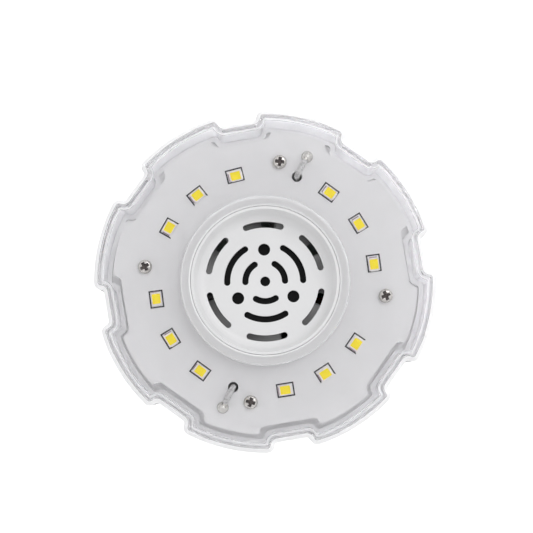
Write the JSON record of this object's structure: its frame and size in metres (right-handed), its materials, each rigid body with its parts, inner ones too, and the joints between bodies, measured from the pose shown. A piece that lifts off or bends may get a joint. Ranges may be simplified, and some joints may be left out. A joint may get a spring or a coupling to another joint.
{
  "type": "led retrofit lamp bulb",
  "caption": "LED retrofit lamp with a mogul screw base, flared vented driver housing, lobed body under clear strip covers, and a lit end face round a fan grille.",
  "frame": {"origin": "middle of the end contact's face, on the lamp's axis", "axes": "+Z along the lamp's axis from the screw base to the lit end; +X through a groove between two lobes"},
  "size_m": [0.0914, 0.0914, 0.2076],
  "materials": {
    "contact_brass": "turned",
    "nickel_shell": "nickel plated",
    "dark_insulator": "glossy",
    "white_plastic": "satin",
    "screw_steel": "nickel plated",
    "driver_laminate": "varnished",
    "ferrite": "dull",
    "yellow_tape": "taped",
    "capacitor_sleeve": "sleeved",
    "film_box": "glossy",
    "black_resin": "moulded",
    "fuse_glass": "clear",
    "white_sleeve": "glossy",
    "bare_aluminium": "extruded",
    "white_aluminium": "white coating",
    "clear_plastic": "clear",
    "led_body": "moulded",
    "phosphor": "silicone",
    "fan_black": "moulded",
    "coil_copper": "enamelled"
  },
  "bodies": {
    "lamp": {"base_insulator": "dark_insulator", "board_screws": "screw_steel", "bridge_rectifier": "black_resin", "bulk_capacitor": "capacitor_sleeve", "center_contact": "contact_brass", "contact_lead": "white_sleeve", "driver_board": "driver_laminate", "driver_housing": "white_plastic", "end_board": "white_aluminium", "end_cover": "clear_plastic", "end_frame": "white_aluminium", "end_leads": "white_sleeve", "end_leds": "led_body", "end_phosphor": "phosphor", "fan_bearing": "contact_brass", "fan_frame": "fan_black", "fan_grille": "white_plastic", "fan_screws": "screw_steel", "fan_stator": "coil_copper", "film_capacitor": "film_box", "fuse": "fuse_glass", "heatsink": "bare_aluminium", "housing_neck": "white_plastic", "housing_screws": "screw_steel", "led_strip_1": "white_aluminium", "led_strip_2": "white_aluminium", "led_strip_3": "white_aluminium", "led_strip_4": "white_aluminium", "led_strip_5": "white_aluminium", "led_strip_6": "white_aluminium", "led_strip_7": "white_aluminium", "led_strip_8": "white_aluminium", "line_choke": "ferrite", "output_capacitor": "capacitor_sleeve", "power_switch": "black_resin", "screw_shell": "nickel_shell", "shell_lead": "white_sleeve", "solder_joints": "screw_steel", "strip_cover_1": "clear_plastic", "strip_cover_2": "clear_plastic", "strip_cover_3": "clear_plastic", "strip_cover_4": "clear_plastic", "strip_cover_5": "clear_plastic", "strip_cover_6": "clear_plastic", "strip_cover_7": "clear_plastic", "strip_cover_8": "clear_plastic", "strip_leds_1": "led_body", "strip_leds_2": "led_body", "strip_leds_3": "led_body", "strip_leds_4": "led_body", "strip_leds_5": "led_body", "strip_leds_6": "led_body", "strip_leds_7": "led_body", "strip_leds_8": "led_body", "strip_phosphor": "phosphor", "transformer_core": "ferrite", "transformer_winding": "yellow_tape"},
    "fan_rotor": {"fan_impeller": "fan_black", "rotor_magnet": "ferrite", "fan_shaft": "screw_steel"}
  },
  "joints": [
    {"name": "fan_spin", "type": "hinge", "parent": "lamp", "child": "fan_rotor", "pos_m": [0, 0, 0.1925], "axis": [0, 0, 1], "continuous": true}
  ]
}
